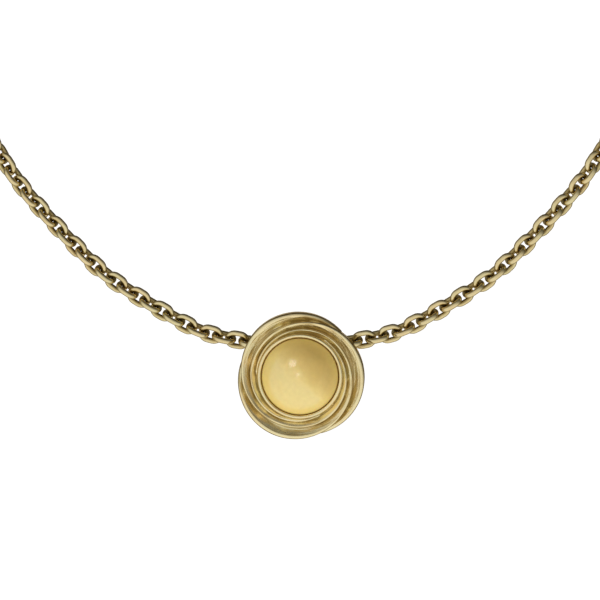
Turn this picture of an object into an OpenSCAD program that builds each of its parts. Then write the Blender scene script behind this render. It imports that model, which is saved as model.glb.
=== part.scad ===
// Amber pendant necklace: a round cabochon in a gold swirl of three spiral rims,
// hung by two rings from a heavy chain of plain oval links that closes behind the neck.
// Millimetres. +X is the wearer's left, -Y the way the stone faces, +Z up.
// The origin is the point behind the neck where the clasp rests.

/* [Stone] */
// Radius of the stone that shows inside the bezel
stone_r = 9.5; // [9:0.1:9.6]
// Height of the stone's dome above the bezel
dome_h = 3.1; // [2:0.1:4]

/* [Bezel] */
// Outer radius of the bezel
bezel_r = 10.5; // [10.4:0.05:10.6]
// Height of the bezel above the pendant's back
bezel_h = 5.5; // [5.3:0.1:6]
// Thickness of the plate behind the stone
plate_t = 0.9; // [0.8:0.1:1.2]

/* [Swirl rims] */
// Radius of each rim's outer turn
rim_r = 13.7; // [13.5:0.02:13.8]
// How far the outer turn's centre lies from the pendant's centre
rim_off = 1.55; // [1.4:0.05:1.7]
// Radius of each rim's first turn, next to the bezel
start_r = 11.41; // [11.3:0.01:11.5]
// Direction in which the first rim starts, anticlockwise from the right
start_dir = 318; // [310:1:326]
// Height of a rim's crest where it starts
crest_h = 5.1; // [5:0.1:5.3]
// How much a rim falls from its start to its end
crest_fall = 1.0; // [0.8:0.1:1.2]
// How far the rims lie below the stone's centre
rim_low = 0.24; // [0.2:0.02:0.3]
// Radius of the rounded edge on a rim's outer turn
edge_r = 0.7; // [0.6:0.05:0.75]

/* [Chain] */
// Thickness of the link wire
wire_d = 1.38; // [1.34:0.02:1.4]
// Width of a link, outside
link_w = 5.0; // [4.94:0.02:5.04]
// Distance from one link to the next
pitch = 3.35; // [3.34:0.01:3.36]
// Free play between two links
play = 0.17; // [0.16:0.01:0.2]
// Number of links on each side
links = 69; // [69:1:69]
// Roll of the first link and every second one, away from face on
roll_a = -66; // [-68:1:-64]

/* [Hanging rings] */
// Height of the hanging points above the pendant's centre
hook_up = 7.65; // [7.5:0.05:7.8]
// Distance of each hanging point from the middle
hook_x = 11.3; // [11.2:0.05:11.4]
// Gap from the chain's middle plane to the pendant's back
back_gap = 2.9; // [2.8:0.1:3]
// Thickness of the ring wire
ring_wire = 1.0; // [0.9:0.05:1.1]

/* [Clasp] */
// Radius of the clasp's barrel
barrel_r = 2.2; // [2:0.1:2.4]

/* [Hidden] */

gold = [0.83, 0.69, 0.40];
amber = [0.88, 0.70, 0.30];

// The stone's seat: a running gap, the rounded lip and the widest part of the stone
small_gap = 0.06;
lip_r = (bezel_r - stone_r - 0.1) / 2;
seat_r = stone_r + 0.4;
girdle_r = seat_r - small_gap;

// Links: half the wire's path along and across the link, and the reach from a link's
// middle to the wire of the ring that it hangs on.
half_l = (pitch + play + wire_d) / 2;
half_w = (link_w - wire_d) / 2;
reach = half_l - wire_d / 2 - play - ring_wire / 2;
roll_b = roll_a + 90;

// The chain's course from the hanging point to the nape: at each length along it,
// how steeply it climbs and how far it has turned round the neck, in degrees.
course = [
  // length, climb, turn
  [0, 7, 0],
  [6, 11, 0],
  [12, 16, 0],
  [16, 26, 0],
  [22, 30, 0],
  [30, 31.5, 1],
  [38, 35, 2],
  [45, 43.5, 3],
  [55, 46.5, 5],
  [66, 48, 8],
  [72, 52, 10],
  [80, 58, 14],
  [94, 64, 42],
  [115, 46, 94],
  [150, 16, 124],
  [190, 2, 150],
  [230, 0, 180]
];
climbs = [for (row = course) [row[0], row[1]]];
turns = [for (row = course) [row[0], row[2]]];

function climb_at(s) = lookup(s, climbs);
function turn_at(s) = lookup(s, turns);
function heading(s) = [
  cos(climb_at(s)) * cos(turn_at(s)),
  cos(climb_at(s)) * sin(turn_at(s)),
  sin(climb_at(s))
];

first_link = [hook_x, 0, 0] + reach * heading(reach / 2);
link_spots = [
  for (i = 0, s = reach, p = first_link; i < links;
       p = p + pitch * heading(s + pitch / 2), s = s + pitch, i = i + 1) [s, p]
];
last_spot = link_spots[links - 1];
nape_hook = last_spot[1] + reach * heading(last_spot[0] + reach / 2);

// Everything is drawn from the hanging points and then moved so that the origin
// is on the neck side of the clasp.
nape = [0, nape_hook[1] - barrel_r, nape_hook[2]];

// Hanging rings: each ring's middle lies on the arm of the link that it holds.
ring_r = half_w - 0.05;
loop_r = 1.5;
ring_y = ring_r * sin(roll_a);
ring_z = -ring_r * cos(roll_a);

// Swirl: the two circles that a rim follows, seen from the front. Directions are
// counted from the first rim's start, and a rim runs clockwise from there.
rims = 3;
rim_turn = 360 / rims;
outer_dir = 30;
join_dir = -160;
outer_mid = rim_off * [cos(outer_dir), sin(outer_dir)];
inner_mid = outer_mid + (rim_r - start_r) * [cos(join_dir), sin(join_dir)];
join_point = outer_mid + rim_r * [cos(join_dir), sin(join_dir)];
join_travel = -atan2(join_point[1], join_point[0]);

// A rim ends where it meets the next one, which then makes the pendant's edge.
rim_travel = 420 - outer_dir;
rise_start = 12;
rise_travel = 35;
rise = 1.4;
end_travel = 320;
end_fall = 1.5;
start_edge_r = 0.28;
swell_from = 225;
swell_to = 315;
start_dish = 0.6;
end_dish = 0.95;
dish_travel = 130;
start_wide = 0.8;
end_wide = 2.1;
wide_travel = 250;
foot = 0.25;
step_up = 0.03;
hollow_r = [10.9, 11.9];
hollow_h = 2.5;

// The front is one skin of narrow rows, which run from the back's middle out to the
// edge, in over the rims and the bezel, and down to the plate under the stone.
row_step = 5;
rows = 360 / row_step;
turn_rows = rim_turn / row_step;
end_row = rim_travel / row_step;
rim_n = 10;
rim_size = end_row * rim_n + 1;

function ramp(x) = x <= 0 ? 0 : x >= 1 ? 1 : x * x * (3 - 2 * x);
function mix(a, b, t) = a + (b - a) * t;

// Distance from the pendant's centre to a circle, along a direction
function to_circle(dir, mid, r) =
  let (u = [cos(dir), sin(dir)], along = mid * u)
  along + sqrt(along * along - mid * mid + r * r);

// A rim after some degrees of travel: its crest, its rounded edge and its dished channel
function crest_radius(travel) =
  travel < join_travel
    ? to_circle(-travel, inner_mid, start_r)
    : to_circle(-travel, outer_mid, rim_r);
function crest_height(travel) =
  crest_h - crest_fall * travel / rim_travel
    - rise * (1 - ramp((travel - rise_start) / rise_travel))
    - end_fall * ramp((travel - end_travel) / (rim_travel - end_travel));
function swell(travel) = ramp((travel - swell_from) / (swell_to - swell_from));
function edge_at(travel) = mix(start_edge_r, edge_r, swell(travel));
function dish_at(travel) = mix(start_dish, end_dish, ramp(travel / dish_travel));
function wide_at(travel) = mix(start_wide, end_wide, ramp(travel / wide_travel));
function wall_at(travel) = crest_radius(travel) + edge_at(travel);

// A rim's section: the rounded edge as parts of its radius, up to where the channel
// leaves it, and then the channel as parts of its own width and depth
edge_in = [0, 0.134, 0.5, 1, 1.57];
edge_drop = [1, 0.5, 0.134, 0, 0.18];
edge_end = len(edge_in) - 1;
dish_in = [0.25, 0.5, 0.78, 1];
dish_drop = [0.31, 0.64, 0.92, 1];

// How far in from a rim's outer wall each point of its section lies
function cuts(e, wide) = [
  for (x = edge_in) x * e,
  for (x = dish_in) mix(edge_in[edge_end] * e, e + wide, x)
];
function drops(e, dish) = [
  for (x = edge_drop) x * e,
  for (x = dish_drop) mix(edge_drop[edge_end] * e, dish, x)
];

// Height of a rim's own surface at a distance from the pendant's centre
function own_height(travel, r) =
  let (
    e = edge_at(travel),
    z = crest_height(travel),
    at = cuts(e, wide_at(travel)),
    drop = drops(e, dish_at(travel))
  )
  z - lookup(wall_at(travel) - r, [for (j = [0 : len(at) - 1]) [at[j], drop[j]]]);

// A young rim shows only where it has risen out of the channel that it grows from.
function height_at(travel, r) =
  travel + rim_turn > rim_travel
    ? own_height(travel, r)
    : max(own_height(travel, r), own_height(travel + rim_turn, r) + step_up);
function inner_end(travel) =
  travel < rim_turn ? bezel_r : wall_at(travel - rim_turn);

// One row of a rim, as distance from the centre and height above the back: the foot
// of the outer wall, over the edge and down the channel, squeezed where rims meet.
function rim_row(travel) =
  let (
    e = edge_at(travel),
    wall = wall_at(travel),
    wide = wide_at(travel),
    fit = min(1, (wall - inner_end(travel)) / (e + wide + 0.1)),
    low = travel + rim_turn > rim_travel
      ? foot
      : own_height(travel + rim_turn, wall)
  )
  [
    [wall, low],
    for (x = cuts(e, wide)) [wall - fit * x, height_at(travel, wall - fit * x)]
  ];

// The bezel's outline from its outer wall, over the rounded lip, down to the plate
bezel_line = [
  [bezel_r, bezel_h - lip_r],
  for (a = [22.5 : 22.5 : 157.5])
    [bezel_r - lip_r + lip_r * cos(a), bezel_h - lip_r + lip_r * sin(a)],
  [bezel_r - 2 * lip_r, bezel_h - lip_r],
  [seat_r, bezel_h - lip_r],
  [seat_r, plate_t]
];
back_line = [
  [hollow_r[0], 0],
  [hollow_r[0], hollow_h],
  [hollow_r[1], hollow_h],
  [hollow_r[1], 0]
];
back_n = len(back_line) + 1;
bezel_n = len(bezel_line) + 1;
ring_size = back_n + bezel_n;

// The rim that makes the pendant's edge on a row, and how many rows it has run
function edge_rim(m) =
  [for (i = [0 : rims - 1]) if (edge_row(m, i) >= 0) i][0];
function edge_row(m, i) =
  let (q = (m - i * turn_rows + 2 * rows) % rows)
  q > end_row - turn_rows ? q : q + rows <= end_row ? q + rows : -1;

// Numbers of the points: a rim's own, those on the bezel side and those on the back
function rim_point(i, q, j) =
  j == rim_n && q < turn_rows ? bezel_point(q + i * turn_rows, 0)
    : j == rim_n ? rim_point((i + 1) % rims, q - turn_rows, 0)
    : q == end_row && j > 0 ? rim_point((i + 1) % rims, q - turn_rows, 0)
    : i * rim_size + q * rim_n + j;
function bezel_point(m, j) = rims * rim_size + (m % rows) * ring_size + j;
function back_point(m, j) = bezel_point(m, bezel_n + j);

// Two triangles between neighbouring rows
function patch(a, b, c, d) = concat(
  c == d ? [] : [[a, d, c]],
  b == c ? [] : [[a, c, b]]
);
function spot(m, p) = [p[0] * cos(-m * row_step), p[0] * sin(-m * row_step), p[1]];

// The rims' middle lies below the stone's, apart from what touches the bezel, and the
// front is drawn turned by its start
low_reach = 1.5;
rim_shift = -rim_low * [sin(start_dir), cos(start_dir), 0];
function low_spot(m, p) = spot(m, p) + rim_shift * min(1, (p[0] - bezel_r) / low_reach);

// Cast front in one piece: the three rims, the bezel with its rounded lip, the plate
// behind the stone and the groove in the back
module front() {
  mid_back = rims * rim_size + rows * ring_size;
  points = [
    for (i = [0 : rims - 1]) each [
      for (q = [0 : end_row - 1], p = rim_row(q * row_step))
        low_spot(q + i * turn_rows, p),
      low_spot(end_row + i * turn_rows, [wall_at(rim_travel), foot])
    ],
    for (m = [0 : rows - 1]) each [
      spot(m, [bezel_r, height_at((m % turn_rows) * row_step, bezel_r)]),
      for (p = bezel_line) spot(m, p),
      for (p = back_line) spot(m, p),
      low_spot(m, [wall_at(edge_row(m, edge_rim(m)) * row_step) - foot, 0])
    ],
    [0, 0, 0],
    [0, 0, plate_t]
  ];
  faces = [
    for (i = [0 : rims - 1], q = [0 : end_row - 1], j = [0 : rim_n - 1])
      each patch(
        rim_point(i, q, j),
        rim_point(i, q, j + 1),
        rim_point(i, q + 1, j + 1),
        rim_point(i, q + 1, j)
      ),
    for (i = [0 : rims - 1], j = [0 : rim_n - 1])
      [bezel_point(i * turn_rows + rows - 1, 0), rim_point(i, 0, j), rim_point(i, 0, j + 1)],
    for (i = [0 : rims - 1])
      let (next = (i + 1) % rims, q = end_row - turn_rows)
      [rim_point(i, end_row, 0), rim_point(next, q + 1, 0), rim_point(next, q, 0)],
    for (m = [0 : rows - 1]) each [
      for (j = [0 : bezel_n - 2]) each patch(
        bezel_point(m, j), bezel_point(m, j + 1), bezel_point(m + 1, j + 1), bezel_point(m + 1, j)
      ),
      for (j = [0 : back_n - 2]) each patch(
        back_point(m, j), back_point(m, j + 1), back_point(m + 1, j + 1), back_point(m + 1, j)
      ),
      let (i = edge_rim(m), k = edge_rim((m + 1) % rows))
      each patch(
        back_point(m, back_n - 1),
        rim_point(i, edge_row(m, i), 0),
        rim_point(k, edge_row((m + 1) % rows, k), 0),
        back_point(m + 1, back_n - 1)
      ),
      [mid_back, back_point(m + 1, 0), back_point(m, 0)],
      [bezel_point(m, bezel_n - 1), bezel_point(m + 1, bezel_n - 1), mid_back + 1]
    ]
  ];
  polyhedron(points, faces, convexity = 8);
}

// Round wire bent to a full ring that lies in the XY plane
module wire_ring(r, wire) {
  rotate_extrude($fn = 64) translate([r, 0]) circle(d = wire, $fn = 24);
}

// Moves what is drawn from the hanging points so that the origin is at the nape
module worn() {
  translate(-nape) children();
}

// The cast front is drawn flat on its back and then stood up
module swirl_frame() {
  color(gold) worn() {
    translate([0, -back_gap, -hook_up]) rotate([90, 0, 0]) rotate(start_dir) front();
    for (side = [-1, 1]) translate([side * hook_x, ring_y, ring_z]) rotate([0, 90, 0])
      wire_ring(ring_r, ring_wire);
  }
}

// Cabochon: a straight-sided base in the bezel, under a round dome
module amber_stone() {
  base = plate_t + small_gap;
  shoulder = bezel_h - lip_r;
  sag = bezel_h + dome_h - shoulder;
  dome_r = (stone_r * stone_r + sag * sag) / (2 * sag);
  color(amber) worn() translate([0, -back_gap, -hook_up]) rotate([90, 0, 0]) intersection() {
    rotate_extrude($fn = 96) polygon([
      [0, base],
      [girdle_r - 0.5, base],
      [girdle_r, base + 0.5],
      [girdle_r, shoulder - 0.9],
      [stone_r, shoulder],
      [stone_r, bezel_h + dome_h],
      [0, bezel_h + dome_h]
    ]);
    translate([0, 0, bezel_h + dome_h - dome_r]) sphere(r = dome_r, $fn = 128);
  }
}

// One link: two half rings joined by two short straight arms
module link() {
  arm = half_l - half_w;
  rotate([90, 0, 0]) {
    for (turn = [-90, 90]) rotate(turn + 90) translate([arm, 0, 0]) rotate(-90)
      rotate_extrude(angle = 180, $fn = 48) translate([half_w, 0]) circle(d = wire_d, $fn = 24);
    for (side = [-1, 1]) translate([-arm, side * half_w, 0]) rotate([0, 90, 0])
      cylinder(h = 2 * arm, d = wire_d, $fn = 24);
  }
}

// The links of one side, each turned a quarter round from the one before
module links_to_nape() {
  for (i = [0 : links - 1]) {
    s = link_spots[i][0];
    translate(link_spots[i][1])
      rotate([i % 2 == 0 ? roll_a : roll_b, -climb_at(s), turn_at(s)]) link();
  }
}

module chain_right() {
  color(gold) worn() links_to_nape();
}

module chain_left() {
  color(gold) worn() mirror([1, 0, 0]) links_to_nape();
}

// Plain barrel with a soldered ring at each end
module clasp() {
  half = nape_hook[0] - loop_r - 0.7;
  bevel = 0.6;
  color(gold) worn() translate([0, nape_hook[1], nape_hook[2]]) {
    rotate([0, 90, 0]) rotate_extrude($fn = 64) polygon([
      [0, -half],
      [barrel_r - bevel, -half],
      [barrel_r, -half + bevel],
      [barrel_r, half - bevel],
      [barrel_r - bevel, half],
      [0, half]
    ]);
    for (side = [0, 1]) mirror([side, 0, 0]) translate([nape_hook[0] - loop_r, 0, 0])
      rotate([roll_b + 90, 0, 180]) wire_ring(loop_r, ring_wire);
  }
}

swirl_frame();
amber_stone();
chain_left();
chain_right();
clasp();
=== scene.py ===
# %% [markdown]
# # An amber pendant on a heavy chain
# The real object is a piece of jewellery: a round, cloudy amber cabochon sits in a cast
# gold frame of three rims that spiral outwards from the bezel, and the frame hangs from
# a chain of plain oval links by two rings soldered to its back. The solids come from the
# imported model, in metres, and this script dresses them: each piece is made again with
# finer, smoother surfaces in exactly the same place, and gets its own finish.

# %% Load the fixed frame
import math

import bmesh
import bpy
from mathutils import Matrix, Vector


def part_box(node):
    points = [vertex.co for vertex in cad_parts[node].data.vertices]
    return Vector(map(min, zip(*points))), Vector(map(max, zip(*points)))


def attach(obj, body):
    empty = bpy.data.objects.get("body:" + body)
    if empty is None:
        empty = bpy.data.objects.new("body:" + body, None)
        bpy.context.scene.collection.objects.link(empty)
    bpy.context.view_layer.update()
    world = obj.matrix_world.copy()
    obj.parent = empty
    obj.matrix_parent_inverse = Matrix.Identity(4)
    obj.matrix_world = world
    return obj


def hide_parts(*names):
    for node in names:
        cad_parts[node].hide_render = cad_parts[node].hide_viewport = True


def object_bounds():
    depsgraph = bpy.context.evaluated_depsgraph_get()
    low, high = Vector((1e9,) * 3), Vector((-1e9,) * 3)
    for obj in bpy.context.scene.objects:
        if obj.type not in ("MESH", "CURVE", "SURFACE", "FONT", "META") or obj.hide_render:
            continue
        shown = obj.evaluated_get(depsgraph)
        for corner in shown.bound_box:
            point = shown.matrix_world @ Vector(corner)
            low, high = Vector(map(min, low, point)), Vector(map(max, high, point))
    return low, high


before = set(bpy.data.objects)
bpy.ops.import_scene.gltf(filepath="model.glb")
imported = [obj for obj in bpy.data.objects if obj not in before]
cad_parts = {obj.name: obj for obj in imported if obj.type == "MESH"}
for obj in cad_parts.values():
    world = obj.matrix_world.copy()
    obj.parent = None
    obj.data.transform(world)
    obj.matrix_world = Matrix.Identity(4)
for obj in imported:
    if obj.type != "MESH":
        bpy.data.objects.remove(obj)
cad_box = [list(corner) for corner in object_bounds()]
print("box, mm:", [[round(v * 1000, 2) for v in corner] for corner in cad_box])

# %% [markdown]
# ## The sizes that everything shares
# The pieces are worked out in millimetres from the hanging points, and one matrix at the end
# scales them to metres and moves them so that the origin is at the nape of the neck. Only the
# stone's box is read from the frame, because it tells how far the pendant lies below and in
# front of that origin.

# %% Sizes in millimetres
MM = 0.001
STONE_R, DOME_H = 9.5, 3.1
BEZEL_R, BEZEL_H, PLATE_T = 10.5, 5.5, 0.9
RIM_R, RIM_OFF, START_R, START_DIR, RIM_LOW = 13.7, 1.55, 11.41, 318, 0.24
CREST_H, CREST_FALL, EDGE_R = 5.1, 1.0, 0.7
WIRE, LINK_W, PITCH, PLAY, LINKS, ROLL = 1.38, 5.0, 3.35, 0.17, 69, -66
HOOK_UP, HOOK_X, BACK_GAP, RING_WIRE, BARREL_R = 7.65, 11.3, 2.9, 1.0, 2.2
SMALL_GAP = 0.06

stone_low, stone_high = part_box("amber_stone")
pendant_z = (stone_low.z + stone_high.z) / 2 / MM
pendant_y = stone_high.y / MM + PLATE_T + SMALL_GAP
nape = Vector((0, -(pendant_y + BACK_GAP), -(pendant_z + HOOK_UP)))
WORN = Matrix.Scale(MM, 4) @ Matrix.Translation(-nape)
STANDING = WORN @ Matrix.Translation((0, -BACK_GAP, -HOOK_UP)) @ Matrix.Rotation(math.pi / 2, 4, "X")
print("nape lies behind and above the hanging points, mm:", [round(v, 2) for v in nape])

# %% [markdown]
# ## Camera
# The photograph was taken with a long lens from slightly above and a little to one side:
# the links' openings and the shape of the stone's seam give about 6 degrees and 1.5
# degrees. One pixel is 0.2468 mm at the pendant. The camera looks from a metre away and
# is aimed so that the pendant falls below the middle of the picture. It leans by a third
# of a degree, because the necklace hangs a trace lower on the picture's left.

# %% Place the camera
PIXEL = 0.2468 * MM
PICTURE, SENSOR = 600, 36
DISTANCE, AZIMUTH, ELEVATION, LEAN = 1.0, 1.5, 6.3, -0.3
# how many pixels the pendant falls below and to the left of the picture's middle
DOWN, LEFT = 75.2, 0.16
HALF_DEPTH = 2.1


def camera_axes(azimuth, elevation):
    az, el = math.radians(azimuth), math.radians(elevation)
    look = Vector((-math.sin(az) * math.cos(el), math.cos(az) * math.cos(el), -math.sin(el)))
    right = Vector((math.cos(az), math.sin(az), 0))
    return look, right, right.cross(look)


centre = Vector((0, (pendant_y - HALF_DEPTH) * MM, pendant_z * MM))
look, right, up = camera_axes(AZIMUTH, ELEVATION)
lift = math.atan(DOWN * PIXEL / DISTANCE)
aim = look * math.cos(lift) + up * math.sin(lift) + right * (LEFT * PIXEL / DISTANCE)

lens = bpy.data.cameras.new("camera")
lens.sensor_width = SENSOR
lens.lens = SENSOR * DISTANCE / (PICTURE * PIXEL)
lens.clip_end = 100
camera = bpy.data.objects.new("camera", lens)
bpy.context.collection.objects.link(camera)
camera.matrix_world = (
    Matrix.Translation(centre - look * DISTANCE)
    @ aim.to_track_quat("-Z", "Y").to_matrix().to_4x4()
    @ Matrix.Rotation(math.radians(LEAN), 4, "Z")
)
bpy.context.scene.camera = camera
print("lens, mm:", round(lens.lens, 1), "from", [round(v, 3) for v in camera.location])

# %% [markdown]
# ## Helpers for turning points into finished pieces
# Nearly everything in jewellery is drawn wire, turned rims and castings, so one tool does
# most of the work here: spin. It turns a row of points round an axis. Where a shape isn't
# a plain ring, the spin also climbs a little with each step, so every point still knows
# its row and its column, and can then be moved to its own place.

# %% Mesh helpers
def finish_piece(bm, name, matrix, body, nodes, material):
    """Moves a drawn mesh to its place, tidies it and hands it to the frame."""
    bmesh.ops.transform(bm, matrix=matrix, verts=bm.verts)
    bmesh.ops.recalc_face_normals(bm, faces=bm.faces)
    mesh = bpy.data.meshes.new(name)
    bm.to_mesh(mesh)
    bm.free()
    for face in mesh.polygons:
        face.use_smooth = True
    piece = bpy.data.objects.new(name, mesh)
    bpy.context.collection.objects.link(piece)
    mesh.materials.append(material)
    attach(piece, body)
    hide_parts(*nodes)
    open_edges = sum(1 for n in edge_uses(mesh).values() if n != 2)
    triangles = sum(len(f.vertices) - 2 for f in mesh.polygons)
    print(name, "triangles:", triangles, "open edges:", open_edges)
    return piece


def edge_uses(mesh):
    uses = {}
    for face in mesh.polygons:
        for key in face.edge_keys:
            uses[key] = uses.get(key, 0) + 1
    return uses


def spun_grid(bm, columns, degrees, steps):
    """A row of points spun clockwise. Returns each new point with its column and row."""
    first = 10
    row = [bm.verts.new((first + c, 0, 0)) for c in range(columns)]
    edges = [bm.edges.new(pair) for pair in zip(row, row[1:])]
    known = set(bm.verts) - set(row)
    bmesh.ops.spin(
        bm, geom=row + edges, cent=(0, 0, 0), axis=(0, 0, 1), dvec=(0, 0, 1),
        angle=-math.radians(degrees), steps=steps,
    )
    fresh = [v for v in bm.verts if v not in known]
    return [(v, round(math.hypot(v.co.x, v.co.y)) - first, round(v.co.z)) for v in fresh]


def full_turn(bm, line, axis, steps):
    """Spins a line of (distance from the axis, height) all the way round."""
    along_x = axis == (1, 0, 0)
    row = [bm.verts.new((h, 0, r) if along_x else (r, 0, h)) for r, h in line]
    edges = [bm.edges.new(pair) for pair in zip(row, row[1:])]
    bmesh.ops.spin(
        bm, geom=row + edges, cent=(0, 0, 0), axis=axis, angle=2 * math.pi, steps=steps, use_merge=True,
    )
    bmesh.ops.remove_doubles(bm, verts=bm.verts, dist=0.001)


def ramp(x):
    x = min(1, max(0, x))
    return x * x * (3 - 2 * x)


def mix(a, b, t):
    return a + (b - a) * t


# %% [markdown]
# ## The gold
# Old pale yellow gold is bright where hands and cloth have polished it, and keeps a brown
# film in its hollows, where nothing reaches. Each gold piece carries a value called hollow
# on its points, 0 where it stands proud and 1 deep down, so the film follows the form and
# not the view. One node group turns it into colour and roughness, with a fine uneven
# grain for the casting's soft surface, and every gold material sets its own amounts. The
# casting also has fine streaks round the stone, from the file and the polishing wheel.

# %% Node helpers
def add(tree, kind, links=(), **values):
    """A node with its properties set and its inputs linked, by name or number."""
    node = tree.nodes.new(kind)
    for key, value in values.items():
        setattr(node, key, value)
    for socket, source in links:
        if hasattr(source, "is_linked"):
            tree.links.new(source, node.inputs[socket])
        else:
            node.inputs[socket].default_value = source
    return node


def calc(tree, operation, *inputs, **values):
    """A math node's result."""
    return add(tree, "ShaderNodeMath", enumerate(inputs), operation=operation, **values).outputs[0]


def steer(tree, operation, *inputs):
    """A vector math node's results, which are called Vector and Value."""
    return add(tree, "ShaderNodeVectorMath", enumerate(inputs), operation=operation).outputs


def span(tree, value, start, end, low=0.0, high=1.0, soft=False):
    """Where a value stands between start and end, as a number from low to high."""
    return add(
        tree, "ShaderNodeMapRange",
        [("Value", value), ("From Min", start), ("From Max", end), ("To Min", low), ("To Max", high)],
        interpolation_type="SMOOTHSTEP" if soft else "LINEAR",
    ).outputs[0]


def blend(tree, factor, under, over, way="MIX"):
    """Two colours, mixed by a factor."""
    return add(
        tree, "ShaderNodeMix", [("Factor", factor), (6, under), (7, over)],
        data_type="RGBA", blend_type=way,
    ).outputs[2]


def noise(tree, place, scale, detail=2.0, distortion=0.0):
    return add(
        tree, "ShaderNodeTexNoise",
        [("Vector", place), ("Scale", scale), ("Detail", detail), ("Distortion", distortion)],
    ).outputs["Fac"]


def grey(tree, value):
    return add(tree, "ShaderNodeCombineColor", [(0, value), (1, value), (2, value)]).outputs[0]


# %% The aged gold effect
# noise sizes, as a number of cells in a metre
PATCHES, GRAIN, DRIFT, STREAKS = 420.0, 3200.0, 190.0, 2400.0
COOL, WARM = (0.97, 1.0, 0.92, 1), (1.03, 0.985, 0.87, 1)


def new_group(name, inputs, outputs):
    group = bpy.data.node_groups.new(name, "ShaderNodeTree")
    for label, kind, value in inputs:
        socket = group.interface.new_socket(label, in_out="INPUT", socket_type=kind)
        if value is not None:
            socket.default_value = value
    for label, kind in outputs:
        group.interface.new_socket(label, in_out="OUTPUT", socket_type=kind)
    return group, group.nodes.new("NodeGroupInput"), group.nodes.new("NodeGroupOutput")


def aged_gold_group():
    t, given, put = new_group(
        "aged_gold",
        [
            ("Position", "NodeSocketVector", None),
            ("Hollow", "NodeSocketFloat", 0.0),
            ("Bright Gold", "NodeSocketColor", (1, 1, 1, 1)),
            ("Deep Gold", "NodeSocketColor", (1, 1, 1, 1)),
            ("Film", "NodeSocketColor", (1, 1, 1, 1)),
            ("Film Amount", "NodeSocketFloat", 1.0),
            ("Bright Roughness", "NodeSocketFloat", 0.2),
            ("Film Roughness", "NodeSocketFloat", 0.5),
            ("Streak", "NodeSocketFloat", 0.5),
        ],
        [("Color", "NodeSocketColor"), ("Roughness", "NodeSocketFloat"), ("Height", "NodeSocketFloat")],
    )
    value = given.outputs
    patches = noise(t, value["Position"], PATCHES, 4.0)
    grain = noise(t, value["Position"], GRAIN, 3.0)
    # the film starts sooner in some places than in others, and it runs in streaks, which
    # hardly show where the gold stands proud and is polished
    marked = calc(t, "MULTIPLY_ADD", value["Streak"], 3.2, -1.6)
    reach = span(t, value["Hollow"], 0.0, 0.35, 0.1, 1.0)
    settled = calc(t, "MULTIPLY_ADD", marked, reach, value["Hollow"])
    uneven = calc(t, "MULTIPLY_ADD", calc(t, "SUBTRACT", patches, 0.5), 0.9, settled)
    film = calc(t, "MULTIPLY", span(t, uneven, 0.25, 1.05, soft=True), value["Film Amount"], use_clamp=True)

    gold = blend(t, span(t, uneven, -0.2, 0.6), value["Bright Gold"], value["Deep Gold"])
    hue = blend(t, span(t, noise(t, value["Position"], DRIFT), 0.35, 0.65), COOL, WARM)
    colour = blend(t, 1.0, blend(t, film, gold, value["Film"]), hue, "MULTIPLY")

    dull = add(
        t, "ShaderNodeMix", [("Factor", film), (2, value["Bright Roughness"]), (3, value["Film Roughness"])],
    )
    rough = calc(t, "ADD", dull.outputs[0], span(t, grain, 0.0, 1.0, -0.05, 0.05), use_clamp=True)
    fine = calc(t, "MULTIPLY_ADD", value["Streak"], 2.5, grain)
    height = calc(t, "MULTIPLY_ADD", patches, 2.0, fine)
    for label, result in (("Color", colour), ("Roughness", rough), ("Height", height)):
        t.links.new(result, put.inputs[label])
    return t


AGED_GOLD = aged_gold_group()


def streaks(t, place):
    """Fine marks that run round the stone, about 0.4 mm wide."""
    around = steer(t, "SUBTRACT", place, (0, 0, pendant_z * MM))["Vector"]
    flat = steer(t, "MULTIPLY", around, (1, 0, 1))["Vector"]
    away = steer(t, "LENGTH", flat)["Value"]
    toward = steer(t, "NORMALIZE", flat)["Vector"]
    turn = steer(t, "MULTIPLY", toward, (2.5, 2.5, 2.5))["Vector"]
    outward = add(t, "ShaderNodeCombineXYZ", [("Y", calc(t, "MULTIPLY", away, STREAKS))]).outputs[0]
    return noise(t, steer(t, "ADD", turn, outward)["Vector"], 1.0, 3.0)


def gold_material(name, bump, streaked, values):
    material = bpy.data.materials.new(name)
    material.use_nodes = True
    t = material.node_tree
    shader = t.nodes["Principled BSDF"]
    shader.inputs["Metallic"].default_value = 1.0
    shader.inputs["Specular Tint"].default_value = (0.95, 0.84, 0.60, 1)
    place = add(t, "ShaderNodeTexCoord").outputs["Object"]
    hollow = add(t, "ShaderNodeAttribute", attribute_name="hollow").outputs["Fac"]
    aged = add(t, "ShaderNodeGroup", [("Position", place), ("Hollow", hollow)], node_tree=AGED_GOLD)
    if streaked:
        t.links.new(streaks(t, place), aged.inputs["Streak"])
    for label, value in values.items():
        aged.inputs[label].default_value = value
    relief = add(
        t, "ShaderNodeBump", [("Height", aged.outputs["Height"]), ("Strength", bump), ("Distance", 0.0001)],
    )
    t.links.new(aged.outputs["Color"], shader.inputs["Base Color"])
    t.links.new(aged.outputs["Roughness"], shader.inputs["Roughness"])
    t.links.new(relief.outputs["Normal"], shader.inputs["Normal"])
    return material


gold_cast = gold_material("gold_cast", 0.33, True, {
    "Bright Gold": (0.89, 0.78, 0.51, 1),
    "Deep Gold": (0.88, 0.755, 0.465, 1),
    "Film": (0.43, 0.31, 0.12, 1),
    "Film Amount": 0.8,
    "Bright Roughness": 0.19,
    "Film Roughness": 0.38,
})
gold_wire = gold_material("gold_wire", 0.1, False, {
    "Bright Gold": (0.84, 0.725, 0.465, 1),
    "Deep Gold": (0.64, 0.51, 0.26, 1),
    "Film": (0.22, 0.155, 0.055, 1),
    "Film Amount": 0.9,
    "Bright Roughness": 0.22,
    "Film Roughness": 0.45,
})
print("gold finishes:", gold_cast.name, gold_wire.name)
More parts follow.
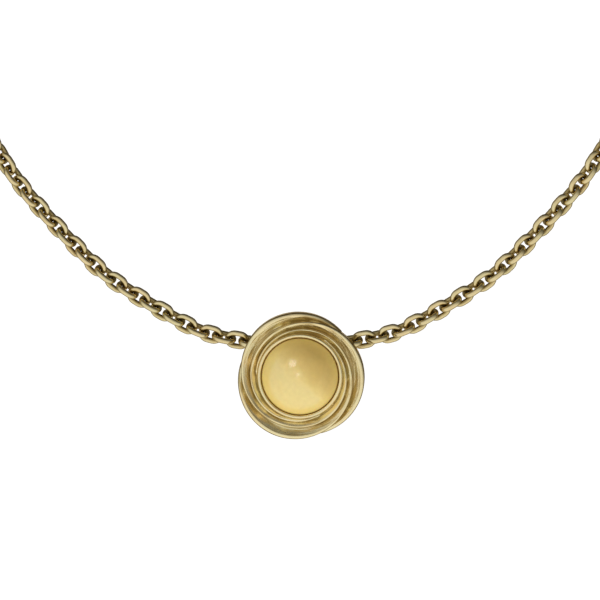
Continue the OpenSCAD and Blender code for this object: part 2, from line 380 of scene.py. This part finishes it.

# %% [markdown]
# ## The swirl of three rims
# From the front, each rim follows two circles: a tight one beside the bezel, and a wider
# one, off centre, that swings it out to the pendant's edge. Three rims start a third of a
# turn apart and lie in each other's channels, and all of them lie a little low round the
# stone, as the photograph shows. How far round a rim has gone, in degrees, is called its
# travel.

# %% The rims' course
RIMS, RIM_TURN, OUTER_DIR, JOIN_DIR = 3, 120, 30, -160
TRAVEL = 420 - OUTER_DIR
ROW_STEP = 2
# a rim rises out of the older one's cove at its start, and sinks below it at its end
RISE, RISE_START, RISE_TRAVEL = 1.4, 12, 35
END_FALL, END_TRAVEL = 1.5, 320
START_EDGE_R, SWELL_FROM, SWELL_TO = 0.28, 225, 315
START_DISH, END_DISH, DISH_TRAVEL = 0.6, 0.95, 130
START_WIDE, END_WIDE, WIDE_TRAVEL = 0.8, 2.1, 250
# the fine mesh keeps a hair inside the source's faces
TRUE_RIM_R = RIM_R - 0.02


def polar(r, degrees):
    return Vector((r * math.cos(math.radians(degrees)), r * math.sin(math.radians(degrees))))


OUTER_MID = polar(RIM_OFF, OUTER_DIR)
INNER_MID = OUTER_MID + polar(TRUE_RIM_R - START_R, JOIN_DIR)
join_point = OUTER_MID + polar(TRUE_RIM_R, JOIN_DIR)
JOIN_TRAVEL = -math.degrees(math.atan2(join_point.y, join_point.x))


def to_circle(direction, mid, r):
    along = mid.dot(polar(1, direction))
    return along + math.sqrt(along * along - mid.dot(mid) + r * r)


def crest_radius(travel):
    if travel < JOIN_TRAVEL:
        return to_circle(-travel, INNER_MID, START_R)
    return to_circle(-travel, OUTER_MID, TRUE_RIM_R)


def crest_height(travel):
    rise = RISE * (1 - ramp((travel - RISE_START) / RISE_TRAVEL))
    fall = END_FALL * ramp((travel - END_TRAVEL) / (TRAVEL - END_TRAVEL))
    return CREST_H - CREST_FALL * travel / TRAVEL - rise - fall


def edge_at(travel):
    return mix(START_EDGE_R, EDGE_R, ramp((travel - SWELL_FROM) / (SWELL_TO - SWELL_FROM)))


def dish_at(travel):
    return mix(START_DISH, END_DISH, ramp(travel / DISH_TRAVEL))


def wide_at(travel):
    return mix(START_WIDE, END_WIDE, ramp(travel / WIDE_TRAVEL))


def wall_at(travel):
    return crest_radius(travel) + edge_at(travel)


print("rims meet their wider circle after", round(JOIN_TRAVEL, 1), "degrees")

# %% [markdown]
# ## A rim's section
# Across, a rim is a thin rounded bead at its outer side, and then a smooth cove that runs
# in to the next rim's wall. The bead is nearly a half circle, and the cove leaves it
# smoothly and sinks towards the next rim. In the photograph the beads are clean, with a
# thin dark line at their foot, and the coves are brown in their middle and darkest in the
# seam. A young rim shows only where it has risen out of the older one's cove.

# %% The section across a rim
BEAD = [0, 12, 25, 40, 55, 70, 83, 96, 108, 118, 125]
COVE = [0.07, 0.15, 0.25, 0.37, 0.5, 0.65, 0.82, 1.0]
BEAD_WIDTH = 1 - math.cos(math.radians(BEAD[-1]))
BEAD_DROP = 1 - math.sin(math.radians(BEAD[-1]))
FOOT, STEP_UP, SPARE = 0.25, 0.03, 0.1
# how hollow each kind of place lies; at their start and end the first two rims get a light
# film, and the third, whose start and end lie at the upper right, gets painted shade there
FLAT_FILM, EDGE_FILM, LINE_FILM, DEEP_FILM, SEAM_FILM = 0.1, 0.35, 0.8, 1.0, 1.1
END_FILM_AND_SHADE = [0.3, 0.3, 1.1]


def cove_depth(u):
    """From 0 at the bead to 1 at the inner end: it leaves the bead smoothly and ends flat."""
    return 1.1 * u + 0.8 * u * u - 0.9 * u ** 3


def cove_film(travel, u, end_film_and_shade):
    """How hollow a cove lies: more in its middle, more as the rim grows, full in the seam."""
    film = (0.05 + 0.4 * ramp(u / 0.45)) * mix(0.25, 1.0, ramp((travel - 60) / 140))
    # near a rim's start and end the cove takes that rim's own value: a light film on the first two rims,
    # painted shade on the third, at the upper right
    near_end = max(1 - ramp(travel / 45), ramp((travel - 335) / 35))
    film = mix(film, end_film_and_shade, near_end)
    film = mix(LINE_FILM, film, ramp(u / 0.15))
    return mix(film, SEAM_FILM, ramp((u - 0.85) / 0.15))


def bead_film(a):
    """How hollow a bead's side lies: clean on its crest, filmed where it turns down."""
    return max(ramp((70 - a) / 45), 0.7 * ramp((a - 108) / 17))


def own_height(travel, r):
    e, dish, wide = edge_at(travel), dish_at(travel), wide_at(travel)
    x = max(0, wall_at(travel) - r)
    if x < BEAD_WIDTH * e:
        drop = e - math.sqrt(max(0, e * e - (x - e) ** 2))
    else:
        u = min(1, (x - BEAD_WIDTH * e) / (wide + e - BEAD_WIDTH * e))
        drop = mix(BEAD_DROP * e, dish, cove_depth(u))
    return crest_height(travel) - drop


def height_at(travel, r):
    if travel + RIM_TURN > TRAVEL:
        return own_height(travel, r)
    return max(own_height(travel, r), own_height(travel + RIM_TURN, r) + STEP_UP)


def inner_end(travel):
    return BEZEL_R if travel < RIM_TURN else wall_at(travel - RIM_TURN)


def rim_row(travel, end_film_and_shade):
    """A row's points: distance from the centre, height, and how hollow they lie."""
    e, wall, wide = edge_at(travel), wall_at(travel), wide_at(travel)
    if travel >= TRAVEL:
        return [(wall, FOOT, LINE_FILM)] * (2 + len(BEAD) + len(COVE))
    end = inner_end(travel)
    fit = min(1, (wall - end) / (e + wide + SPARE))
    if travel + RIM_TURN >= TRAVEL:
        row = [(wall, FOOT, EDGE_FILM)]
    else:
        row = [(wall, height_at(travel + RIM_TURN, wall), DEEP_FILM)]
    for a in BEAD:
        x = fit * e * (1 - math.cos(math.radians(a)))
        row.append((wall - x, height_at(travel, wall - x), bead_film(a)))
    for u in COVE:
        x = fit * mix(BEAD_WIDTH * e, e + wide, u)
        row.append((wall - x, height_at(travel, wall - x), cove_film(travel, u, end_film_and_shade)))
    row.append((end, height_at(travel, end), SEAM_FILM))
    return row


print("points across a rim:", len(rim_row(200, 0)))

# %% [markdown]
# ## Bezel, plate and back
# The bezel is a plain ring whose lip is rolled over the stone, and a thin plate closes the
# cup behind it. The back is flat, with a turned groove that saves gold, and its edge
# follows the rims. All of it comes from two more spins, one for the bezel and plate and
# one for the back, with rows at the same steps as the rims, so that they can be joined.

# %% The bezel's and the back's sections
LIP_R = (BEZEL_R - STONE_R - 0.1) / 2
SEAT_R = STONE_R + 0.4
SHOULDER = BEZEL_H - LIP_R
bezel_line = [(BEZEL_R, SHOULDER, 0.15)]
for a in range(15, 180, 15):
    c, s = math.cos(math.radians(a)), math.sin(math.radians(a))
    bezel_line.append((BEZEL_R - LIP_R + LIP_R * c, SHOULDER + LIP_R * s, 0.25 * abs(c)))
bezel_line += [
    (BEZEL_R - 2 * LIP_R, SHOULDER, 0.5),
    (SEAT_R, SHOULDER, DEEP_FILM),
    (SEAT_R, PLATE_T, DEEP_FILM),
    (0.0, PLATE_T, DEEP_FILM),
]
back_line = [
    (0.0, 0.0, FLAT_FILM), (5.0, 0.0, FLAT_FILM), (9.5, 0.0, FLAT_FILM), (10.65, 0.0, FLAT_FILM),
    (10.8, 0.0, 0.15), (10.9, 0.1, 0.4),
    (10.9, 2.4, DEEP_FILM), (11.0, 2.5, DEEP_FILM), (11.8, 2.5, DEEP_FILM), (11.9, 2.4, DEEP_FILM),
    (11.9, 0.1, 0.4), (12.0, 0.0, 0.15), (12.15, 0.0, FLAT_FILM),
]


def back_edge(wall):
    return [(wall - 1.6 * FOOT, 0.0, FLAT_FILM), (wall - FOOT, 0.0, FLAT_FILM), (wall, FOOT, EDGE_FILM)]


def outline_at(degrees_round):
    """The outermost wall in a direction, measured clockwise from the first rim's start."""
    walls = []
    for i in range(RIMS):
        travel = (degrees_round - i * RIM_TURN) % 360
        for t in (travel, travel + 360):
            if TRAVEL - RIM_TURN <= t <= TRAVEL:
                walls.append(wall_at(t))
    return max(walls)


# %% Spin the rims, the bezel and the back into one closed casting
# the rims lie low round the stone, and their shift grows over this far from the bezel
LOW_REACH = 1.5


def casting():
    bm = bmesh.new()
    hollow = bm.verts.layers.float.new("hollow")

    def put(vert, spot, degrees_round, low=0):
        p = polar(spot[0], START_DIR - degrees_round)
        vert.co = (p.x, p.y - low * min(1, (spot[0] - BEZEL_R) / LOW_REACH), spot[1])
        vert[hollow] = spot[2]

    for i in range(RIMS):
        rows = {t: rim_row(t, END_FILM_AND_SHADE[i]) for t in range(0, TRAVEL + 1, ROW_STEP)}
        for vert, column, row in spun_grid(bm, len(rows[0]), TRAVEL, TRAVEL // ROW_STEP):
            put(vert, rows[row * ROW_STEP][column], i * RIM_TURN + row * ROW_STEP, RIM_LOW)
    for vert, column, row in spun_grid(bm, len(bezel_line) + 1, 360, 360 // ROW_STEP):
        turned = row * ROW_STEP
        foot = (BEZEL_R, height_at(turned % RIM_TURN, BEZEL_R), DEEP_FILM)
        put(vert, ([foot] + bezel_line)[column], turned)
    back_points = len(back_line + back_edge(0))
    for vert, column, row in spun_grid(bm, back_points, 360, 360 // ROW_STEP):
        turned = row * ROW_STEP
        low = 0 if column < len(back_line) else RIM_LOW
        put(vert, (back_line + back_edge(outline_at(turned)))[column], turned, low)
    bmesh.ops.remove_doubles(bm, verts=bm.verts, dist=0.002)
    bmesh.ops.dissolve_degenerate(bm, edges=bm.edges, dist=0.0005)
    gaps = [e for e in bm.edges if e.is_boundary]
    print("open edges before closing:", len(gaps))
    bmesh.ops.holes_fill(bm, edges=gaps, sides=0)
    return bm


finish_piece(casting(), "swirl_front", STANDING, "pendant", ["swirl_frame"], gold_cast)

# %% [markdown]
# ## Hanging rings
# Behind the frame, level with the first links, two rings of round wire are soldered on
# edge, and the chain's end links pass through them. A ring of round wire is a small circle
# spun all the way round. The film is darkest on the inside, where the link rubs dirt in.

# %% Rings of round wire
def wire_ring(bm, ring_r, wire, matrix, hollow, sides=14, steps=40):
    """Spins a wire's section into a full ring that lies in the XY plane before it is moved."""
    known = set(bm.verts)
    circle = bmesh.ops.create_circle(bm, segments=sides, radius=wire / 2)["verts"]
    bmesh.ops.transform(
        bm, matrix=Matrix.Translation((ring_r, 0, 0)) @ Matrix.Rotation(math.pi / 2, 4, "X"), verts=circle,
    )
    edges = list({e for v in circle for e in v.link_edges})
    bmesh.ops.spin(
        bm, geom=circle + edges, cent=(0, 0, 0), axis=(0, 0, 1), angle=2 * math.pi, steps=steps, use_merge=True,
    )
    fresh = [v for v in bm.verts if v not in known]
    for v in fresh:
        inward = (ring_r - math.hypot(v.co.x, v.co.y)) / (wire / 2)
        v[hollow] = min(1, max(0, 0.5 * inward + 0.35))
    bmesh.ops.transform(bm, matrix=matrix, verts=fresh)


HALF_W = (LINK_W - WIRE) / 2
HALF_L = (PITCH + PLAY + WIRE) / 2
REACH = HALF_L - WIRE / 2 - PLAY - RING_WIRE / 2
RING_R = HALF_W - 0.05
ring_y = RING_R * math.sin(math.radians(ROLL))
ring_z = -RING_R * math.cos(math.radians(ROLL))

bm = bmesh.new()
layer = bm.verts.layers.float.new("hollow")
for side in (-1, 1):
    stand = Matrix.Translation((side * HOOK_X, ring_y, ring_z)) @ Matrix.Rotation(math.pi / 2, 4, "Y")
    wire_ring(bm, RING_R, RING_WIRE, stand, layer)
finish_piece(bm, "hanging_rings", WORN, "pendant", ["swirl_frame"], gold_wire)

# %% [markdown]
# ## Chain
# A heavy oval link is a piece of wire bent round two pins: two half rings joined by two
# short straight arms. One link is drawn by spinning a half ring, pulling it straight for
# an arm, spinning the other half and bridging back to the start. Sixty-nine links to a
# side then lie along the course that the necklace takes from the pendant to the nape,
# each turned a quarter round from the one before.

# %% One link
def edges_of(geometry):
    return [g for g in geometry if isinstance(g, bmesh.types.BMEdge)]


def link_mesh(sides=14, half_steps=13):
    bm = bmesh.new()
    hollow = bm.verts.layers.float.new("hollow")
    arm = HALF_L - HALF_W
    circle = bmesh.ops.create_circle(bm, segments=sides, radius=WIRE / 2)["verts"]
    bmesh.ops.transform(
        bm, matrix=Matrix.Translation((arm, 0, HALF_W)) @ Matrix.Rotation(math.pi / 2, 4, "Y"), verts=circle,
    )
    first = list({e for v in circle for e in v.link_edges})
    half = bmesh.ops.spin(
        bm, geom=circle + first, cent=(arm, 0, 0), axis=(0, 1, 0), angle=math.pi, steps=half_steps,
    )
    pulled = bmesh.ops.extrude_edge_only(bm, edges=edges_of(half["geom_last"]))["geom"]
    verts = [g for g in pulled if isinstance(g, bmesh.types.BMVert)]
    loop = [e for e in edges_of(pulled) if all(v in verts for v in e.verts)]
    bmesh.ops.translate(bm, vec=(-2 * arm, 0, 0), verts=verts)
    other = bmesh.ops.spin(
        bm, geom=verts + loop, cent=(-arm, 0, 0), axis=(0, 1, 0), angle=math.pi, steps=half_steps,
    )
    bmesh.ops.bridge_loops(bm, edges=first + edges_of(other["geom_last"]))
    for v in bm.verts:
        # the film sits inside the link and in the bends, where its neighbours rub
        spine = Vector((max(-arm, min(arm, v.co.x)), 0, 0))
        out = Vector((v.co.x - spine.x, 0, v.co.z))
        inward = (HALF_W - out.length) / (WIRE / 2)
        bend = ramp((abs(v.co.x) - 0.6) / (HALF_L - 1.0))
        v[hollow] = min(1, max(0, 0.12 + 0.75 * inward + 0.35 * bend * max(0, inward + 0.5)))
    bmesh.ops.recalc_face_normals(bm, faces=bm.faces)
    mesh = bpy.data.meshes.new("one_link")
    bm.to_mesh(mesh)
    bm.free()
    return mesh


one_link = link_mesh()
print("one link: points", len(one_link.vertices), "faces", len(one_link.polygons))

# %% The necklace's course
# the length along the chain, and its climb and its turn round the neck there, in degrees
COURSE = [
    (0, 7, 0), (6, 11, 0), (12, 16, 0), (16, 26, 0), (22, 30, 0), (30, 31.5, 1), (38, 35, 2),
    (45, 43.5, 3), (55, 46.5, 5), (66, 48, 8), (72, 52, 10), (80, 58, 14), (94, 64, 42),
    (115, 46, 94), (150, 16, 124), (190, 2, 150), (230, 0, 180),
]


def along_course(s, column):
    """The climb or the turn at a length along the chain, in degrees."""
    for a, b in zip(COURSE, COURSE[1:]):
        if s <= b[0]:
            return mix(a[column], b[column], (s - a[0]) / (b[0] - a[0]))
    return COURSE[-1][column]


def heading(s):
    climb, turn = math.radians(along_course(s, 1)), math.radians(along_course(s, 2))
    return Vector((math.cos(climb) * math.cos(turn), math.cos(climb) * math.sin(turn), math.sin(climb)))


def link_places():
    s, spot = REACH, Vector((HOOK_X, 0, 0)) + REACH * heading(REACH / 2)
    for i in range(LINKS):
        turned = (
            Matrix.Rotation(math.radians(along_course(s, 2)), 4, "Z")
            @ Matrix.Rotation(math.radians(-along_course(s, 1)), 4, "Y")
            @ Matrix.Rotation(math.radians(ROLL + 90 * (i % 2)), 4, "X")
        )
        yield s, spot, Matrix.Translation(spot) @ turned
        spot = spot + PITCH * heading(s + PITCH / 2)
        s += PITCH


places = list(link_places())
last_s, last_spot, _ = places[-1]
nape_hook = last_spot + REACH * heading(last_s + REACH / 2)
print("the chain reaches the clasp at, mm:", [round(v, 2) for v in nape_hook])


# %% Lay the links of both sides
def chain(name, mirrored):
    bm = bmesh.new()
    for _, _, place in places:
        known = len(bm.verts)
        bm.from_mesh(one_link)
        bm.verts.ensure_lookup_table()
        bmesh.ops.transform(bm, matrix=place, verts=bm.verts[known:])
    if mirrored:
        bmesh.ops.scale(bm, vec=(-1, 1, 1), verts=bm.verts)
        bmesh.ops.reverse_faces(bm, faces=bm.faces)
    finish_piece(bm, name + "_links", WORN, "chain", [name], gold_wire)


chain("chain_right", False)
chain("chain_left", True)

# %% [markdown]
# ## Clasp
# The photograph doesn't show how the chain closes, so a plain barrel with a soldered ring
# at each end stands behind the neck. It is turned from one line, with softened corners.

# %% Turn the barrel and add its rings
LOOP_R, LOOP_REACH = 1.5, 0.7


def clasp_mesh():
    bm = bmesh.new()
    hollow = bm.verts.layers.float.new("hollow")
    half, bevel = nape_hook.x - LOOP_R - LOOP_REACH, 0.6
    line = [(0, -half), (BARREL_R - bevel, -half), (BARREL_R, -half + bevel)]
    line += [(r, -x) for r, x in reversed(line)]
    full_turn(bm, line, (1, 0, 0), 48)
    corners = [e for e in bm.edges if len(e.link_faces) == 2 and e.calc_face_angle() > 0.5]
    bmesh.ops.bevel(
        bm, geom=corners, offset=0.12, offset_type="OFFSET", segments=2, profile=0.5,
        affect="EDGES", material=-1,
    )
    for v in bm.verts:
        v[hollow] = 0.55 if abs(v.co.x) > half - 0.1 else 0.15
    for side in (-1, 1):
        place = (
            Matrix.Translation((side * (nape_hook.x - LOOP_R), 0, 0))
            @ Matrix.Rotation(math.pi if side > 0 else 0, 4, "Z")
            @ Matrix.Rotation(math.radians(ROLL + 180), 4, "X")
        )
        wire_ring(bm, LOOP_R, RING_WIRE, place, hollow, steps=32)
    bmesh.ops.translate(bm, vec=(0, nape_hook.y, nape_hook.z), verts=bm.verts)
    return bm


finish_piece(clasp_mesh(), "clasp_barrel", WORN, "chain", ["clasp"], gold_wire)

# %% [markdown]
# ## The amber
# Butterscotch amber is full of tiny bubbles, so it glows like honey stirred into milk
# rather than showing clear depth. The cabochon is one section spun round, and its colours
# are painted by Object coordinates, in soft clouds. Light and shade are painted into them:
# pale yellow in the middle and lower half, where the light falls, and painted shade, ochre,
# towards the top and the upper right; a painted reflection, a paler round patch in the
# lower left; painted light, a warm clear yellow along the edge that shows most at the lower
# left; and a painted shadow, a brown line where the stone meets the bezel. The coordinates
# are counted from the stone's middle, with the edge of what shows at a distance of 1.

# %% Spin the cabochon
def cabochon():
    bm = bmesh.new()
    base = PLATE_T + SMALL_GAP
    girdle = SEAT_R - SMALL_GAP
    top = BEZEL_H + DOME_H
    sag = top - SHOULDER
    dome_r = (STONE_R ** 2 + sag ** 2) / (2 * sag)
    reach = math.asin(STONE_R / dome_r)
    line = [(0, base), (girdle - 0.5, base), (girdle, base + 0.5), (girdle, SHOULDER - 0.9)]
    for i in range(25):
        a = reach * (1 - i / 24)
        line.append((dome_r * math.sin(a), top - dome_r * (1 - math.cos(a))))
    full_turn(bm, line, (0, 0, 1), 96)
    print("dome radius, mm:", round(dome_r, 2))
    return bm


# %% Paint the amber
# painted shade: the colours run from pale at the lower left, where the light falls, to
# ochre at the upper right, away from it
AMBER_SHADED_COLOURS = [
    (0.0, (0.80, 0.61, 0.185, 1)), (1.0, (0.60, 0.41, 0.112, 1)), (0.2, (0.83, 0.655, 0.225, 1)),
    (0.36, (0.86, 0.67, 0.23, 1)), (0.66, (0.71, 0.51, 0.152, 1)),
]
# the painted reflection's middle and colour
REFLECTION_MIDDLE, REFLECTION_COLOUR = (-0.03, 0, -0.08), (0.82, 0.695, 0.33, 1)
# painted light along the stone's edge, and the painted shadow of the seam under the bezel's lip
EDGE_GLOW_COLOUR, SEAM_SHADOW_COLOUR = (0.81, 0.6, 0.16, 1), (0.34, 0.18, 0.04, 1)


def amber_material():
    material = bpy.data.materials.new("amber_butterscotch")
    material.use_nodes = True
    t = material.node_tree
    shader = t.nodes["Principled BSDF"]
    place = add(t, "ShaderNodeMapping", [
        ("Vector", add(t, "ShaderNodeTexCoord").outputs["Object"]),
        ("Location", (0, 0, -pendant_z / STONE_R)),
        ("Scale", (1 / (STONE_R * MM),) * 3),
    ]).outputs[0]
    fleck = noise(t, place, 9.0, 4.0)
    parts = add(t, "ShaderNodeSeparateXYZ", [("Vector", place)]).outputs

    # how far up and to the right a point lies, with the clouds blurring it; by this the
    # ramp paints shade, darker towards the upper right
    drift = calc(t, "SUBTRACT", noise(t, place, 1.3, 3.0, 0.6), 0.5)
    high = calc(t, "MULTIPLY_ADD", drift, 0.9, calc(t, "MULTIPLY_ADD", parts["X"], 0.85, parts["Z"]))
    body = add(t, "ShaderNodeValToRGB", [("Fac", span(t, high, -0.75, 1.0))])
    stops = body.color_ramp.elements
    for stop, (position, colour) in zip(stops, AMBER_SHADED_COLOURS):
        stop.position, stop.color = position, colour
    for position, colour in AMBER_SHADED_COLOURS[2:]:
        stops.new(position).color = colour

    # a painted reflection: a paler round patch in the lower left, fading upwards
    from_reflection = steer(t, "SUBTRACT", place, REFLECTION_MIDDLE)["Vector"]
    off_reflection = steer(t, "LENGTH", steer(t, "MULTIPLY", from_reflection, (1, 0, 1))["Vector"])["Value"]
    in_reflection = span(t, off_reflection, 0.82, 0.72, 0.0, 0.5, soft=True)
    reflection_seen = calc(t, "MULTIPLY", in_reflection, span(t, high, 0.25, -0.35, soft=True))
    colour = blend(t, reflection_seen, body.outputs["Color"], REFLECTION_COLOUR)

    # distance from the middle: painted light, a warmer glow along the edge, and a painted
    # shadow, the brown line of the seam under the bezel's lip
    flat = add(t, "ShaderNodeCombineXYZ", [("X", parts["X"]), ("Z", parts["Z"])]).outputs[0]
    away = steer(t, "LENGTH", flat)["Value"]
    warm = calc(t, "MULTIPLY", span(t, away, 0.72, 0.98, soft=True), 0.6)
    colour = blend(t, warm, colour, EDGE_GLOW_COLOUR)
    colour = blend(t, span(t, away, 0.965, 1.0, soft=True), colour, SEAM_SHADOW_COLOUR)
    colour = blend(t, 1.0, colour, grey(t, span(t, fleck, 0.0, 1.0, 0.93, 1.07)), "MULTIPLY")
    t.links.new(colour, shader.inputs["Base Color"])
    t.links.new(span(t, fleck, 0.0, 1.0, 0.1, 0.2), shader.inputs["Roughness"])
    shader.inputs["IOR"].default_value = 1.54
    shader.inputs["Subsurface Weight"].default_value = 0.25
    shader.inputs["Subsurface Radius"].default_value = (1.0, 0.55, 0.15)
    shader.inputs["Subsurface Scale"].default_value = 0.0015
    return material


amber_cabochon = finish_piece(
    cabochon(), "amber_cabochon", STANDING, "pendant", ["amber_stone"], amber_material(),
)

# %% [markdown]
# ## Floor and light
# The jewel hangs before white paper: a very large floor just below it fills the picture,
# because the camera looks down on it, and a far wall of the same paper closes the view
# from any side. Gold shows what is around it, so the room is a soft gradient: bright in
# front, dimmer and warmer behind, dim towards the upper right, and pale again straight
# behind and below, where the paper is. That gives every bead a light line and a dark one.
# A square soft light to the upper left makes the glint on the stone, and a small one
# beside the lens the second, fainter glint.

# %% Lay the floor and the far wall
FLOOR_GAP = 0.012


def paper_material():
    paper = bpy.data.materials.new("white_paper")
    paper.use_nodes = True
    t = paper.node_tree
    shader = t.nodes["Principled BSDF"]
    fibre = noise(t, add(t, "ShaderNodeTexCoord").outputs["Object"], 900.0)
    t.links.new(grey(t, span(t, fibre, 0.0, 1.0, 0.93, 0.95)), shader.inputs["Base Color"])
    shader.inputs["Roughness"].default_value = 0.9
    shader.inputs["Specular IOR Level"].default_value = 0.0
    shader.inputs["Emission Color"].default_value = (1, 1, 1, 1)
    shader.inputs["Emission Strength"].default_value = 0.9
    return paper


paper = paper_material()
bpy.ops.mesh.primitive_plane_add(size=60, location=(0, 0, cad_box[0][2] - FLOOR_GAP))
floor = bpy.context.object
floor.name = "floor"
floor.data.materials.append(paper)
floor.visible_glossy = False
print("floor at z, mm:", round(floor.location.z * 1000, 1))

# only the camera sees the wall, which hides the horizon
bpy.ops.mesh.primitive_cylinder_add(vertices=96, radius=6, depth=12, end_fill_type="NOTHING")
wall = bpy.context.object
wall.name = "wall"
wall.data.materials.append(paper)
wall.visible_glossy = wall.visible_diffuse = wall.visible_transmission = wall.visible_shadow = False

# %% Light the stone
stone_only = bpy.data.collections.new("stone_only")
stone_only.objects.link(amber_cabochon)


def soft_light(name, direction, distance, size, power, colour):
    """A square light that faces the stone from a direction given off the camera's axis."""
    light = bpy.data.lights.new(name, "AREA")
    light.shape = "SQUARE"
    light.size = size
    light.energy = power
    light.color = colour
    lamp = bpy.data.objects.new(name, light)
    bpy.context.collection.objects.link(lamp)
    left, above = math.radians(direction[0]), math.radians(direction[1])
    toward = (-look * math.cos(left) - right * math.sin(left)) * math.cos(above) + up * math.sin(above)
    lamp.location = centre + toward * distance
    lamp.rotation_euler = toward.to_track_quat("Z", "Y").to_euler()
    lamp.visible_camera = False
    lamp.light_linking.receiver_collection = stone_only


soft_light("square_glint", (16.8, 16.2), 0.6, 0.13, 0.3, (1.0, 0.88, 0.9))
soft_light("lens_glint", (5.4, -5.4), 0.93, 0.07, 0.14, (1.0, 0.97, 0.9))

# %% Light the room
world = bpy.data.worlds.new("room")
bpy.context.scene.world = world
world.use_nodes = True
sky = world.node_tree
ray = add(sky, "ShaderNodeTexCoord").outputs["Generated"]
parts = add(sky, "ShaderNodeSeparateXYZ", [("Vector", ray)]).outputs
back = calc(sky, "MULTIPLY_ADD", parts["Z"], 0.3, parts["Y"])
front = span(sky, back, 0.4, -0.7, 0.18, 0.86, soft=True)
below = span(sky, parts["Z"], 0.0, -0.8, 0.0, 0.1, soft=True)
behind = span(sky, parts["Y"], 0.9, 1.0, 0.0, 0.5, soft=True)
upper_right = calc(sky, "MULTIPLY_ADD", parts["X"], 0.5, calc(sky, "MULTIPLY", parts["Z"], 0.75))
dimmed = span(sky, upper_right, -0.1, 0.85, 1.0, 0.3, soft=True)
level = calc(sky, "MULTIPLY", dimmed, calc(sky, "ADD", calc(sky, "ADD", front, below), behind))
warmth = blend(sky, front, (1.0, 0.92, 0.76, 1), (1, 1, 1, 1))
room = sky.nodes["Background"]
sky.links.new(level, room.inputs["Strength"])
sky.links.new(warmth, room.inputs["Color"])
bpy.context.scene.view_settings.view_transform = "Standard"
print("lights:", [o.name for o in bpy.data.objects if o.type == "LIGHT"], "in the world", world.name)
